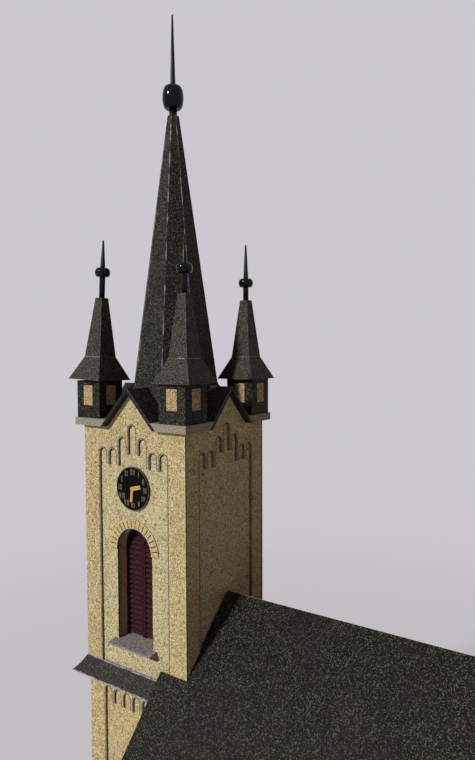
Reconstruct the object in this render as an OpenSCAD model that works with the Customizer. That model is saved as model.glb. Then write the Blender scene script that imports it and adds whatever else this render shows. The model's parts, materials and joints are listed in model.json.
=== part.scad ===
// Card model of a church at 1:160: a square tower with four gables, four corner
// turrets and an octagonal spire, which stands half inside the west end of a nave.
// Millimetres, +Z up. South is -Y, east is +X, along the nave. The origin is on the
// ground, at the middle of the footprint.

/* [Tower] */
// Outside width of the upper stage of the tower
tower_w = 37.5; // [31:0.5:45]
// Height of the lower stage, from the ground to the top of the skirt roof
base_h = 75; // [62:0.5:90]
// Height of the upper stage, from the top of the skirt roof to the cornices
stage_h = 68.5; // [68:0.5:82]
// How far the lower stage stands inside the upper one, on each side
base_inset = 0.45; // [0.2:0.05:1]
// Thickness of the backing card of the walls
board_t = 1.5; // [1:0.1:2]
// Thickness of the relief layer glued on the card
relief_t = 0.6; // [0.4:0.1:0.9]
// Width of the corner strips of the relief
corner_strip = 6.1; // [5:0.1:7]

/* [Arched friezes] */
// Number of arches across a tower face
frieze_n = 7; // [5:2:9]
// Width of the hanging foot between two arches
frieze_leg = 1.1; // [0.8:0.1:1.4]
// Depth of the lowest arch tops below the cornices
frieze_drop = 6.25; // [5:0.05:8]
// Rise of each step of the frieze towards the middle of the gable
frieze_step = 3.5; // [2.5:0.1:3.7]
// Length of a hanging foot, below the lower of the arches beside it
frieze_foot = 4.5; // [3.5:0.1:5.5]

/* [Belfry openings] */
// Width of the round-arched opening
bell_w = 13; // [10.8:0.1:15]
// Height of the bottom of the opening above the skirt roof
bell_sill = 6.6; // [6:0.1:9]
// Height from the bottom of the opening to the springing of its arch
bell_jamb = 27.4; // [23:0.1:28]
// Distance from the backing card's face to the louvres
bell_depth = 3.4; // [2.5:0.1:4.5]
// Thickness of the card that lines the opening
lining_t = 0.8; // [0.5:0.1:1.2]
// Thickness of a louvred shutter
louvre_t = 1; // [0.8:0.1:1.4]
// Width of the brick arches
brick_w = 2.5; // [1.8:0.1:3]
// How far the brick arches stand out from the card
brick_t = 0.4; // [0.3:0.1:0.6]
// Distance that a sill stands out from the relief
sill_out = 2.35; // [1.5:0.05:3]
// Length of a sill past the opening, on each side
sill_over = 1.4; // [0.8:0.1:2]
// Height of the front edge of a sill
sill_edge = 0.5; // [0.3:0.1:0.8]
// Height of a sill against the wall, from the bottom of the opening down
sill_deep = 1.75; // [1.2:0.05:2.2]
// Height of a sill inside the opening
sill_rise = 1.5; // [1:0.1:2]

/* [Clock] */
// Radius of the dial
dial_r = 6.1; // [5:0.1:6.4]
// Thickness of the dial
dial_t = 0.5; // [0.3:0.1:0.6]
// Height of the dial's centre above the skirt roof
dial_z = 51.7; // [51.2:0.1:52]
// Thickness of the hands
hand_t = 0.3; // [0.2:0.1:0.5]
// Length of the minute hand
minute_l = 3.7; // [3:0.1:5]
// Length of the hour hand
hour_l = 3.2; // [2.4:0.1:4]

/* [Tower top] */
// How far the cornices stand out from the wall
cornice_out = 1.8; // [1.2:0.1:2.4]
// Thickness of the cornices
cornice_t = 2.1; // [1.6:0.1:2.6]
// Half width of a gable roof, at the underside of the cornices
gable_half = 10.2; // [9:0.1:10.4]
// Height of a gable ridge above the underside of the cornices
gable_h = 11.1; // [10:0.1:13]
// Overhang of a gable roof in front of the wall
gable_out = 1.95; // [1.2:0.05:2.6]
// Thickness of the card of the gable roofs
gable_t = 0.75; // [0.5:0.05:1]
// Radius of the spire to its corners, at its foot
spire_r = 14.6; // [13:0.1:15]
// Radius of the spire to its corners, at its cut-off top
spire_top_r = 1.76; // [1.6:0.02:2.2]
// Height of the spire above the underside of the cornices
spire_h = 89.3; // [74:0.1:107]
// Thickness of the card of the spire
spire_t = 0.8; // [0.5:0.1:1.2]

/* [Turrets] */
// Distance of a turret's axis from the tower's axis, along X and along Y
turret_off = 15.55; // [15.2:0.05:15.9]
// Width of a turret body
turret_w = 9; // [7.5:0.1:9.6]
// Height of a turret body
turret_h = 10.6; // [8.8:0.1:12.8]
// Thickness of the card of the turrets
turret_t = 0.8; // [0.5:0.1:1]
// Width of a turret roof at the eaves
eaves_w = 12.4; // [11:0.1:13]
// Width of a turret roof where its slope changes
knee_w = 6.2; // [5.6:0.1:7.2]
// Width of the cut-off top of a turret roof
peak_w = 2.5; // [2.3:0.1:3.2]
// Height of the flared foot of a turret roof
flare_h = 6.55; // [5.4:0.05:8]
// Height of the steep part of a turret roof
steep_h = 17; // [14:0.05:20]

/* [Rods and beads] */
// Radius of the rod on the spire, at its foot
rod_r = 0.8; // [0.6:0.05:1]
// Radius of the rods at their tips
tip_r = 0.25; // [0.15:0.05:0.4]
// Radius of the collar between the spire and its bead
collar_r = 1.15; // [1.05:0.05:1.5]
// Height of the collar between the spire and its bead
collar_h = 2.1; // [1.6:0.1:3]
// Radius of the large bead
bead_r = 3.1; // [2.6:0.1:3.7]
// Height of the large bead
bead_h = 6.6; // [5.5:0.1:7.9]
// Length of the rod above the large bead
rod_h = 20.3; // [17:0.1:24.4]
// Radius of a turret rod at its foot
pin_r = 0.85; // [0.6:0.05:0.95]
// Length of each turret rod above its roof: south-west, south-east, north-east, north-west
pin_h = [16.6, 13.8, 16.7, 16.2]; // [12:0.1:20]
// Radius of a small bead
seed_r = 2.2; // [1.8:0.05:2.6]
// Height of a small bead
seed_h = 2.6; // [2.2:0.1:3.1]
// Height of each small bead's middle above its roof, in the same order
seed_z = [7.3, 6.5, 5.2, 6.4]; // [4:0.1:8.5]
// Turns of each turret roof about X and Y, in degrees: they are glued on by hand
roof_turn_x = [-1.3, 0, 0, 0]; // [-1.5:0.1:1.5]
roof_turn_y = [1.9, 0, 0, 0]; // [-2:0.1:2]
// Shift of each turret roof on its body along X and along Y
roof_shift_x = [0, 0.6, -0.4, 0]; // [-0.6:0.1:0.6]
roof_shift_y = [0, 0.4, -0.3, 0]; // [-0.6:0.1:0.6]

/* [Skirt roof] */
// How far the skirt roof reaches out from the upper stage
skirt_out = 3.3; // [2.5:0.1:4]
// Drop of the skirt roof
skirt_drop = 4.4; // [3.6:0.1:5.3]
// Hollow of the skirt roof's curve, half way down
skirt_sag = 0.35; // [0:0.05:0.6]
// Thickness of the card of the skirt roof
skirt_t = 0.8; // [0.5:0.1:1]

/* [Nave] */
// Outside width of the nave
nave_w = 86; // [72:1:103]
// Outside length of the nave
nave_l = 135; // [112:1:162]
// Height of the nave ridge above the top of the skirt roof
ridge_up = 21.15; // [19:0.05:24]
// Fall of the nave roof for each millimetre across
roof_slope = 0.96; // [0.88:0.01:1.02]
// Thickness of the card of the nave roof
roof_t = 1.2; // [0.8:0.1:1.5]
// Overhang of the nave roof at the eaves
eaves_out = 2; // [1.5:0.1:3]
// Overhang of the nave roof at the east end, and at the west end low down
verge_out = 1; // [0.6:0.1:2]
// Extra overhang of the west end beside the tower, where the card is cut askew
verge_skew = 1.6; // [0:0.1:2]
// How far the nave overlaps the lower stage of the tower
overlap_l = 5.9; // [4:0.1:8]
// Number of bays in a long wall
bays = 5; // [4:1:6]
// Width of the strips between the bays
bay_strip = 5; // [4:0.1:6]
// Number of arches in the frieze of one bay
bay_arches = 6; // [5:1:7]
// Width of a nave window
win_w = 6.4; // [5.4:0.1:7.6]
// Height of the bottom of a nave window above the ground
win_sill = 13; // [11:0.5:15]
// Height from the bottom of a nave window to the springing of its arch
win_jamb = 19; // [16:0.5:22]
// Thickness of the window panes
pane_t = 0.6; // [0.4:0.1:0.8]
// Distance of the outer windows of the east wall from the middle one
east_off = 18; // [15:0.5:20]
// How much higher the middle window of the east wall stands
east_lift = 9; // [6:0.5:11]

/* [Portal] */
// Width of the doorway in the west face of the tower
portal_w = 12; // [10:0.1:14]
// Height from the ground to the springing of the doorway's arch
portal_jamb = 19; // [16:0.5:23]
// Thickness of the two door leaves
door_t = 0.8; // [0.5:0.1:1]
// Height of the plinth card inside the walls
plinth_t = 1.5; // [1:0.1:2]

/* [Hidden] */

sandstone = "#d8c78c";
slate = "#2c2b2b";
oxblood = "#5b2c30";
gold = "#d6a945";
grey_card = "#a7a39d";
black_gloss = "#141414";
dark_wood = "#5c4030";
window_grey = "#3a4048";

// The four sides of the tower, as quarter turns from the south side
SOUTH = 0;
EAST = 1;
NORTH = 2;
WEST = 3;
clock_sides = [SOUTH, NORTH, WEST];

glue = 0.05;    // clearance between cards that are glued together
loose = 0.1;    // clearance round the spire, the rods and the roofs
far = 500;      // longer than the model
past = 1;       // how far a cut runs past what it cuts

half = tower_w / 2;
board_out = half - relief_t;             // outer face of the upper stage's card
board_in = board_out - board_t;          // its inner face
base_half = half - base_inset;           // outer face of the lower stage
wall_t = board_t + relief_t;             // whole thickness of the other walls
base_in = base_half - wall_t;
field_half = half - corner_strip;        // half width of the sunk fields

skirt_slope = skirt_drop / skirt_out;
skirt_tv = skirt_t * sqrt(1 + skirt_slope * skirt_slope);
seat_z = base_h - skirt_tv - glue;       // the upper stage stands on the lower one
cornice_z = base_h + stage_h;            // underside of the cornices
deck_z = cornice_z + cornice_t;          // top of the cornices
cornice_half = half + cornice_out;

gable_slope = gable_h / gable_half;
gable_tv = gable_t * sqrt(1 + gable_slope * gable_slope);
gable_top = cornice_z + gable_h;

spire_flat = cos(22.5);                  // from a corner radius to a flat's distance
spire_foot = spire_r * spire_flat;
spire_top = spire_top_r * spire_flat;
spire_top_z = cornice_z + spire_h;
spire_lean = (spire_foot - spire_top) / spire_h;
rod_seat = 5;                            // length of the rods inside the roofs

turret_z = deck_z;
eaves_z = turret_z + turret_h;
corners = [[-1, -1], [1, -1], [1, 1], [-1, 1]];
peak_h = flare_h + steep_h;              // from a turret roof's eaves to its cut-off top

blade_h = 1.1;                           // height of one louvre blade
sill_lip = 0.8;                          // height left at the front of a sloping sill
hour_w = 1.1;                            // widths of the two hands, and radius of their boss
minute_w = 0.8;
boss_r = 0.6;
hour_turn = 15;                          // half past two, as turns from three o'clock
minute_turn = -96;
leaf_gap = 0.3;                          // gap between the two door leaves
nave_sill_out = 1;                       // how far the nave's sills stand out from the relief
bell_z = base_h + bell_sill;
bell_spring = bell_z + bell_jamb;
louvre_n = board_out - bell_depth;       // front face of the louvres

ridge_z = base_h + ridge_up;
roof_tv = roof_t * sqrt(1 + roof_slope * roof_slope);
nave_half = nave_w / 2;
nave_in = nave_half - wall_t;
nave_x0 = base_half - overlap_l;         // outer face of the west walls, from the tower's axis
nave_x1 = nave_x0 + nave_l;
eaves_y = nave_half + eaves_out;
eaves_under = ridge_z - roof_tv - roof_slope * nave_half;
bay_l = (nave_l - bay_strip) / bays;
base_plinth = 6;                         // height of the plain strip at the foot of the walls
frieze_gap = 3.4;                        // from the skirt roof's edge down to the arches
nave_frieze = eaves_under - 3;           // arch tops of the nave's friezes

// The tower's axis lies this far from the middle of the footprint
tower_x = (half + skirt_out - nave_x1 - verge_out) / 2;

// Frieze of the upper stage: it climbs in two steps to the middle arch
mid_arch = (frieze_n - 1) / 2;
tower_tops = [for (k = [0 : frieze_n - 1])
    cornice_z - frieze_drop + frieze_step * max(0, 2 - abs(k - mid_arch))];
base_tops = [for (k = [0 : frieze_n - 1]) base_h - skirt_drop - frieze_gap];
bay_tops = [for (k = [0 : bay_arches - 1]) nave_frieze];

// Frieze under the east gable of the nave: it follows the roof
east_n = 15;
east_mid = (east_n - 1) / 2;
east_pitch = 2 * (nave_half - corner_strip) / east_n;
east_tops = [for (k = [0 : east_n - 1])
    nave_frieze - 1 + roof_slope * east_pitch * (east_mid - abs(k - east_mid))];
east_windows = [[-east_off, 0], [0, east_lift], [east_off, 0]];

// ---------- helpers ----------

module at_tower() translate([tower_x, 0, 0]) children();

// Stands a drawing up on one side of the tower: its X runs along the face and its Y is
// the height. The layer lies between two distances from the tower's axis.
module on_side(side, inner, outer)
    rotate([0, 0, 90 * side]) translate([0, -inner, 0]) rotate([90, 0, 0])
        linear_extrude(outer - inner) children();

// Like on_side, for the nave's long walls: side is -1 for south and 1 for north
module on_nave(side, inner, outer)
    translate([0, side > 0 ? outer : -inner, 0]) rotate([90, 0, 0])
        linear_extrude(outer - inner) children();

module rect(u0, u1, v0, v1) translate([u0, v0]) square([u1 - u0, v1 - v0]);

// Round-headed opening of width w, from v0 up to its springing and its half circle
module arch_shape(w, v0, spring) {
    rect(-w / 2, w / 2, v0, spring);
    translate([0, spring]) circle(d = w, $fn = 48);
}

module brick_ring(w, spring) difference() {
    translate([0, spring]) circle(d = w + 2 * brick_w, $fn = 64);
    translate([0, spring]) circle(d = w, $fn = 64);
    rect(-far, far, spring - far, spring - 0.25);
}

// Sunk field whose top edge is a row of round arches, with a foot hanging between each
// two. tops holds the height of each arch.
module sunk_field(u0, u1, v0, tops) {
    n = len(tops);
    pitch = (u1 - u0 + frieze_leg) / n;
    open = pitch - frieze_leg;
    low = min(tops) - frieze_foot;
    rect(u0, u1, v0, low);
    for (k = [0 : n - 1])
        translate([u0 + open / 2 + pitch * k, 0]) arch_shape(open, low - past, tops[k] - open / 2);
    for (k = [0 : n - 2])
        translate([u0 + open + pitch * k, 0])
            rect(-past / 5, frieze_leg + past / 5, low - past, min(tops[k], tops[k + 1]) - frieze_foot);
}

// Solid with a square or, from four bands, an octagonal section: w0 is its half width
// at the foot and w1 at the top
module taper(w0, w1, h, turns) intersection_for(k = [0 : turns - 1])
    rotate([0, 0, 180 / turns * k]) rotate([90, 0, 0]) linear_extrude(far, center = true)
        polygon([[-w0, 0], [w0, 0], [w1, h], [-w1, h]]);

// Outline of the spire, grown by a clearance
module spire_body(gap) translate([0, 0, cornice_z])
    taper(spire_foot + gap, spire_top + gap, spire_h, 4);

// ---------- upper stage ----------

// Face of the upper stage with its gable, which ends just under the gable roof
module stage_face(w) {
    shoulder = (gable_h - gable_tv - glue) / gable_slope;
    rect(-w / 2, w / 2, seat_z, cornice_z);
    polygon([[-shoulder, cornice_z], [shoulder, cornice_z], [0, gable_top - gable_tv - glue]]);
}

module tower_wall(side) {
    w = side == SOUTH || side == NORTH ? 2 * board_out : 2 * (board_in - glue);
    color(sandstone) at_tower() on_side(side, board_in, board_out) difference() {
        stage_face(w);
        if (side != EAST) arch_shape(bell_w, bell_z, bell_spring);
    }
}

module tower_relief(side) {
    w = side == SOUTH || side == NORTH ? 2 * half : 2 * (board_out - glue);
    color(sandstone) at_tower() on_side(side, board_out, half) difference() {
        stage_face(w);
        sunk_field(-field_half, field_half, seat_z - past, tower_tops);
    }
}

module tower_deck() {
    side = board_in - glue;
    color(grey_card) at_tower() translate([-side, -side, cornice_z - board_t])
        cube([2 * side, 2 * side, board_t]);
}

module belfry_linings() color(sandstone) at_tower() for (side = clock_sides)
    on_side(side, louvre_n - louvre_t, board_in) difference() {
        arch_shape(bell_w + 2 * lining_t, bell_z - lining_t, bell_spring);
        arch_shape(bell_w, bell_z, bell_spring);
    }

// Pair of louvred shutters: each blade is a step in the face of one sheet
module belfry_louvres() {
    top = bell_spring + bell_w / 2;
    n = floor((top - bell_z) / blade_h);
    depth = 0.45 * louvre_t;
    color(oxblood) at_tower() for (side = clock_sides) rotate([0, 0, 90 * side]) intersection() {
        translate([-bell_w / 2 + glue, 0, 0]) rotate([90, 0, 90]) linear_extrude(bell_w - 2 * glue)
            polygon(concat(
                [[-louvre_n + louvre_t, top], [-louvre_n + louvre_t, bell_z]],
                [for (k = [0 : n - 1]) each [[-louvre_n, bell_z + blade_h * k],
                    [-louvre_n + depth, bell_z + blade_h * (k + 1)]]],
                [[-louvre_n + depth, top]]));
        on_side(SOUTH, louvre_n - 2 * louvre_t, louvre_n + past)
            arch_shape(bell_w - 2 * glue, bell_z + sill_rise + glue, bell_spring);
    }
}

// Wedge sill: a sloping shelf in the opening, and a wider nose on the wall.
// face is the wall's face, and nose how far the sill stands out from it.
module wedge_sill(face, back, nose, w, v0) {
    front = face + nose;
    slope = (sill_rise - sill_lip) / (front - back);
    wall_v = v0 + sill_rise - slope * (face - back);
    front_v = v0 + sill_rise - slope * (front - back);
    rotate([90, 0, 90]) linear_extrude(w - 2 * glue, center = true) polygon([
        [-back, v0 + glue], [-face - glue, v0 + glue], [-face - glue, wall_v], [-back, v0 + sill_rise]]);
    rotate([90, 0, 90]) linear_extrude(w + 2 * sill_over, center = true) polygon([
        [-face - glue, v0 - sill_deep], [-front, front_v - sill_edge], [-front, front_v],
        [-face - glue, wall_v]]);
}

module belfry_sills() color(grey_card) at_tower() for (side = clock_sides)
    rotate([0, 0, 90 * side])
        wedge_sill(board_out, louvre_n - louvre_t, relief_t + sill_out, bell_w, bell_z);

module brick_arches() color(sandstone) at_tower() {
    for (side = clock_sides)
        on_side(side, board_out, board_out + brick_t) brick_ring(bell_w, bell_spring);
    on_side(WEST, base_half - relief_t, base_half - relief_t + brick_t) brick_ring(portal_w, portal_jamb);
}

module clock_dials() color(black_gloss) at_tower() for (side = clock_sides)
    on_side(side, board_out, board_out + dial_t) translate([0, base_h + dial_z]) circle(dial_r, $fn = 64);

// The two hands are cut from one piece of brass, with a round boss
module clock_hands() color(gold) at_tower() for (side = clock_sides)
    on_side(side, board_out + dial_t, board_out + dial_t + hand_t)
        translate([0, base_h + dial_z]) {
            rotate(hour_turn) rect(0, hour_l, -hour_w / 2, hour_w / 2);
            rotate(minute_turn) rect(0, minute_l, -minute_w / 2, minute_w / 2);
            circle(boss_r, $fn = 24);
        }

// ---------- tower top ----------

// The whole space under a gable roof, out to its upper faces, grown by a clearance
module gable_prism(side, gap, length) on_side(side, 0, length)
    polygon([
        [-gable_half - gap, cornice_z - past], [-gable_half - gap, cornice_z],
        [0, gable_top + gap * gable_slope], [gable_half + gap, cornice_z],
        [gable_half + gap, cornice_z - past]]);

module gable_roof(side) color(slate) at_tower() difference() {
    on_side(side, 0, half + gable_out) polygon([
        [-gable_half, cornice_z], [0, gable_top], [gable_half, cornice_z],
        [gable_half - gable_tv / gable_slope, cornice_z], [0, gable_top - gable_tv],
        [-gable_half + gable_tv / gable_slope, cornice_z]]);
    spire_body(loose);
    // mitres against the roofs of the next two sides
    rotate([0, 0, 90 * side + 135]) translate([-glue, 0, 0]) cube([far, far, far]);
    rotate([0, 0, 90 * side - 45]) translate([0, -glue, 0]) cube([far, far, far]);
}

module corner_cornices() {
    inner = gable_half - cornice_t / gable_slope;
    color(grey_card) at_tower() for (turn = [0 : 3]) rotate([0, 0, 90 * turn]) difference() {
        translate([inner - past, -cornice_half, cornice_z])
            cube([cornice_half - inner + past, cornice_half - inner + past, cornice_t]);
        gable_prism(SOUTH, loose, far);
        gable_prism(EAST, loose, far);
        spire_body(loose);
    }
}

module turret_bodies() {
    inner = turret_w - 2 * turret_t;
    color(slate) at_tower() for (c = corners)
        translate([turret_off * c[0], turret_off * c[1], turret_z]) difference() {
            translate([-turret_w / 2, -turret_w / 2, 0]) cube([turret_w, turret_w, turret_h]);
            translate([-inner / 2, -inner / 2, -past]) cube([inner, inner, turret_h + 2 * past]);
        }
}

// Flared roof folded from card, hollow over the turret body, with a hole for the rod
module turret_roof() {
    inner = turret_w - 2 * turret_t;
    hollow_top = flare_h + steep_h - rod_seat;
    difference() {
        union() {
            taper(eaves_w / 2, knee_w / 2, flare_h, 2);
            translate([0, 0, flare_h]) taper(knee_w / 2, peak_w / 2, steep_h, 2);
        }
        intersection() {
            translate([-inner / 2, -inner / 2, -past]) cube([inner, inner, hollow_top + past]);
            union() {
                translate([0, 0, -turret_t]) taper(eaves_w / 2 - turret_t, knee_w / 2 - turret_t, flare_h, 2);
                translate([0, 0, flare_h - turret_t - 0.01])
                    taper(knee_w / 2 - turret_t, peak_w / 2 - turret_t, steep_h, 2);
            }
        }
        cylinder(r = pin_r + loose, h = far, $fn = 32);
    }
}

// Place of one turret's roof: shifted, leaning, and just high enough to clear the body
module at_roof(k) {
    lift = turret_w / 2 * (abs(sin(roof_turn_x[k])) + abs(sin(roof_turn_y[k])));
    at_tower() translate([turret_off * corners[k].x + roof_shift_x[k],
        turret_off * corners[k].y + roof_shift_y[k], eaves_z + lift])
        rotate([roof_turn_x[k], roof_turn_y[k], 0]) children();
}

module turret_roofs() color(slate) for (k = [0 : 3]) at_roof(k) turret_roof();

module turret_rods() color(black_gloss) for (k = [0 : 3]) at_roof(k) translate([0, 0, peak_h]) {
    translate([0, 0, -rod_seat]) cylinder(r = pin_r, h = rod_seat + seed_z[k], $fn = 32);
    translate([0, 0, seed_z[k]]) cylinder(r1 = pin_r, r2 = tip_r, h = pin_h[k] - seed_z[k], $fn = 32);
}

// Bead with a round hole: its outline bulges between two small flats
module bead(r, h, hole) {
    flat = r * 0.62;
    rotate_extrude($fn = 64) difference() {
        intersection() {
            translate([flat, 0]) scale([(r - flat) / (h / 2), 1]) circle(h / 2, $fn = 64);
            translate([0, -h / 2]) square([r, h]);
        }
        translate([-past, -h]) square([hole + past, 2 * h]);
    }
    rotate_extrude($fn = 64) translate([hole, -h / 2]) square([flat - hole, h]);
}

module turret_beads() color(black_gloss) for (k = [0 : 3])
    at_roof(k) translate([0, 0, peak_h + seed_z[k]]) bead(seed_r, seed_h, pin_r + loose);

// Eight-sided spire folded from card: hollow, with a solid top that holds the rod
module spire() {
    thick = spire_t * sqrt(1 + spire_lean * spire_lean);
    hollow_h = spire_h - rod_seat;
    hollow_top = spire_foot - thick - spire_lean * hollow_h;
    color(slate) at_tower() difference() {
        spire_body(0);
        translate([0, 0, cornice_z - 0.01]) taper(spire_foot - thick, hollow_top, hollow_h, 4);
        translate([0, 0, cornice_z]) cylinder(r = rod_r + loose, h = far, $fn = 32);
    }
}

module spire_rod() {
    straight = rod_seat + collar_h + bead_h;
    color(black_gloss) at_tower() translate([0, 0, spire_top_z]) {
        translate([0, 0, -rod_seat]) cylinder(r = rod_r, h = straight, $fn = 32);
        cylinder(r = collar_r, h = collar_h, $fn = 32);
        translate([0, 0, straight - rod_seat]) cylinder(r1 = rod_r, r2 = tip_r, h = rod_h, $fn = 32);
    }
}

module spire_bead() color(black_gloss) at_tower()
    translate([0, 0, spire_top_z + collar_h + bead_h / 2]) bead(bead_r, bead_h, rod_r + loose);

// ---------- skirt roof ----------

// Section of the skirt roof: distance from the tower's axis, and height
module skirt_section() polygon([
    [half + glue, base_h], [half + skirt_out / 2, base_h - skirt_drop / 2 - skirt_sag],
    [half + skirt_out, base_h - skirt_drop], [half + skirt_out - skirt_t, base_h - skirt_drop],
    [half + skirt_out / 2 - skirt_t / 2, base_h - skirt_drop / 2 - skirt_sag - skirt_tv / 2],
    [half + glue, base_h - skirt_tv]]);

// One straight piece along a side: it ends at u0 and u1, and is mitred at the hips
module skirt_piece(side, u0, u1, west_cut, east_cut) rotate([0, 0, 90 * side]) difference() {
    translate([u0, 0, 0]) mirror([0, 1, 0]) rotate([90, 0, 90]) linear_extrude(u1 - u0) skirt_section();
    if (west_cut) rotate([0, 0, 135]) translate([-glue, 0, 0]) cube([far, far, far]);
    if (east_cut) rotate([0, 0, -45]) translate([0, -glue, 0]) cube([far, far, far]);
}

module skirt_roof_south() color(slate) at_tower()
    skirt_piece(SOUTH, -half - skirt_out - past, nave_x0 - glue, true, false);

module skirt_roof_north() color(slate) at_tower()
    skirt_piece(NORTH, -nave_x0 + glue, half + skirt_out + past, false, true);

module skirt_roof_west() color(slate) at_tower()
    skirt_piece(WEST, -half - skirt_out - past, half + skirt_out + past, true, true);

// ---------- lower stage ----------

module base_wall(side) {
    w = side == SOUTH || side == NORTH ? 2 * base_half : 2 * (base_in - glue);
    base_field = field_half - base_inset;
    color(sandstone) at_tower() difference() {
        on_side(side, base_in, base_half) rect(-w / 2, w / 2, 0, seat_z);
        if (side != EAST) on_side(side, base_half - relief_t, base_half + past)
            sunk_field(-base_field, base_field, base_plinth, base_tops);
        if (side == WEST) on_side(side, base_in - past, base_half + past)
            arch_shape(portal_w, plinth_t + glue, portal_jamb);
    }
}

module portal_doors() color(dark_wood) at_tower()
    on_side(WEST, base_in, base_in + door_t) difference() {
        arch_shape(portal_w - 2 * glue, plinth_t + 2 * glue, portal_jamb);
        rect(-leaf_gap / 2, leaf_gap / 2, plinth_t + 1, far);
    }

// ---------- nave ----------

function bay_mid(k) = nave_x0 + bay_strip + (bay_l - bay_strip) / 2 + bay_l * k;

module each_bay() for (k = [0 : bays - 1]) translate([bay_mid(k), 0]) children();

module bay_window() arch_shape(win_w, win_sill, win_sill + win_jamb);

// Long wall: a card with a sunk field and a window in each bay, and a bevelled top
module nave_wall(side) {
    rise = roof_slope * wall_t;
    color(sandstone) at_tower() difference() {
        translate([nave_x0, 0, 0]) rotate([90, 0, 90]) linear_extrude(nave_l)
            polygon([[side * nave_half, 0], [side * nave_half, eaves_under - glue],
                [side * nave_in, eaves_under + rise - glue], [side * nave_in, 0]]);
        on_nave(side, nave_half - relief_t, nave_half + past) each_bay()
            sunk_field(-(bay_l - bay_strip) / 2, (bay_l - bay_strip) / 2, base_plinth, bay_tops);
        on_nave(side, nave_in - past, nave_half + past) each_bay() bay_window();
    }
}

// The three windows of the east wall: each has its place across and its height above the others
module each_east() for (place = east_windows) translate(place) children();

module roof_line(gap) polygon([
    [-nave_in + glue, 0], [nave_in - glue, 0],
    [nave_in - glue, ridge_z - roof_tv - gap - roof_slope * (nave_in - glue)],
    [0, ridge_z - roof_tv - gap],
    [-nave_in + glue, ridge_z - roof_tv - gap - roof_slope * (nave_in - glue)]]);

module nave_wall_east() color(sandstone) at_tower() difference() {
    on_side(EAST, nave_x1 - wall_t, nave_x1) roof_line(glue);
    on_side(EAST, nave_x1 - relief_t, nave_x1 + past)
        sunk_field(-nave_half + corner_strip, nave_half - corner_strip, base_plinth, east_tops);
    on_side(EAST, nave_x1 - wall_t - past, nave_x1 + past) each_east() bay_window();
}

// West walls: one on each side of the tower
module nave_walls_west() color(sandstone) at_tower() difference() {
    on_side(EAST, nave_x0, nave_x0 + wall_t) difference() {
        roof_line(glue);
        rect(-base_half - glue, base_half + glue, -past, seat_z + past);
        rect(-half - glue, half + glue, seat_z - glue, far);
    }
}

module nave_panes() color(window_grey) at_tower() {
    for (side = [-1, 1]) on_nave(side, nave_in, nave_in + pane_t) each_bay()
        arch_shape(win_w - 2 * glue, win_sill + glue, win_sill + win_jamb);
    on_side(EAST, nave_x1 - wall_t, nave_x1 - wall_t + pane_t) each_east()
        arch_shape(win_w - 2 * glue, win_sill + glue, win_sill + win_jamb);
}

module nave_sills() {
    back = wall_t - relief_t - pane_t - glue;
    nose = relief_t + nave_sill_out;
    south_face = nave_half - relief_t;
    east_face = nave_x1 - relief_t;
    color(grey_card) at_tower() {
        for (side = [-1, 1], k = [0 : bays - 1]) translate([bay_mid(k), 0, 0])
            rotate([0, 0, side > 0 ? 180 : 0])
                wedge_sill(south_face, south_face - back, nose, win_w, win_sill);
        rotate([0, 0, 90]) for (place = east_windows) translate([place.x, 0, place.y])
            wedge_sill(east_face, east_face - back, nose, win_w, win_sill);
    }
}

module nave_brick_arches() color(sandstone) at_tower() {
    for (side = [-1, 1]) on_nave(side, nave_half - relief_t, nave_half - relief_t + brick_t)
        each_bay() brick_ring(win_w, win_sill + win_jamb);
    on_side(EAST, nave_x1 - relief_t, nave_x1 - relief_t + brick_t) each_east()
        brick_ring(win_w, win_sill + win_jamb);
}

// One slope of the nave roof: cut askew at its west end, and notched round the tower
module nave_roof(side) {
    low_x = nave_x0 - verge_out;
    high_x = low_x - verge_skew;
    gap = half + loose;
    color(slate) at_tower() intersection() {
        translate([-far / 2, 0, 0]) rotate([90, 0, 90]) linear_extrude(2 * far) polygon([
            [side * glue, ridge_z], [side * eaves_y, ridge_z - roof_slope * eaves_y],
            [side * (eaves_y - roof_t * roof_slope / 2), ridge_z - roof_slope * eaves_y - roof_tv / 2],
            [side * glue, ridge_z - roof_tv]]);
        linear_extrude(far) polygon([
            [gap, 0], [gap, side * gap], [high_x, side * gap], [low_x, side * (eaves_y + past)],
            [nave_x1 + verge_out, side * (eaves_y + past)], [nave_x1 + verge_out, 0]]);
    }
}

module plinth_card() color(grey_card) at_tower() {
    x0 = base_half + glue;
    side = nave_in - glue;
    translate([x0, -side, 0]) cube([nave_x1 - wall_t - glue - x0, 2 * side, plinth_t]);
}

tower_wall(SOUTH);  // tower_wall_south
tower_wall(EAST);  // tower_wall_east
tower_wall(NORTH);  // tower_wall_north
tower_wall(WEST);  // tower_wall_west
tower_relief(SOUTH);  // tower_relief_south
tower_relief(EAST);  // tower_relief_east
tower_relief(NORTH);  // tower_relief_north
tower_relief(WEST);  // tower_relief_west
tower_deck();
belfry_linings();
belfry_louvres();
belfry_sills();
brick_arches();
clock_dials();
clock_hands();
corner_cornices();
gable_roof(SOUTH);  // gable_roof_south
gable_roof(EAST);  // gable_roof_east
gable_roof(NORTH);  // gable_roof_north
gable_roof(WEST);  // gable_roof_west
turret_bodies();
turret_roofs();
turret_rods();
turret_beads();
spire();
spire_rod();
spire_bead();
skirt_roof_south();
skirt_roof_north();
skirt_roof_west();
base_wall(SOUTH);  // base_wall_south
base_wall(EAST);  // base_wall_east
base_wall(NORTH);  // base_wall_north
base_wall(WEST);  // base_wall_west
portal_doors();
nave_wall(-1);  // nave_wall_south
nave_wall(1);  // nave_wall_north
nave_wall_east();
nave_walls_west();
nave_panes();
nave_sills();
nave_brick_arches();
nave_roof(-1);  // nave_roof_south
nave_roof(1);  // nave_roof_north
plinth_card();
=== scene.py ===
# Card model of a church: finishes, small pieces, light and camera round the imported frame
import json
import math
import random

import bmesh
import bpy
from mathutils import Matrix, Vector

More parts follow.
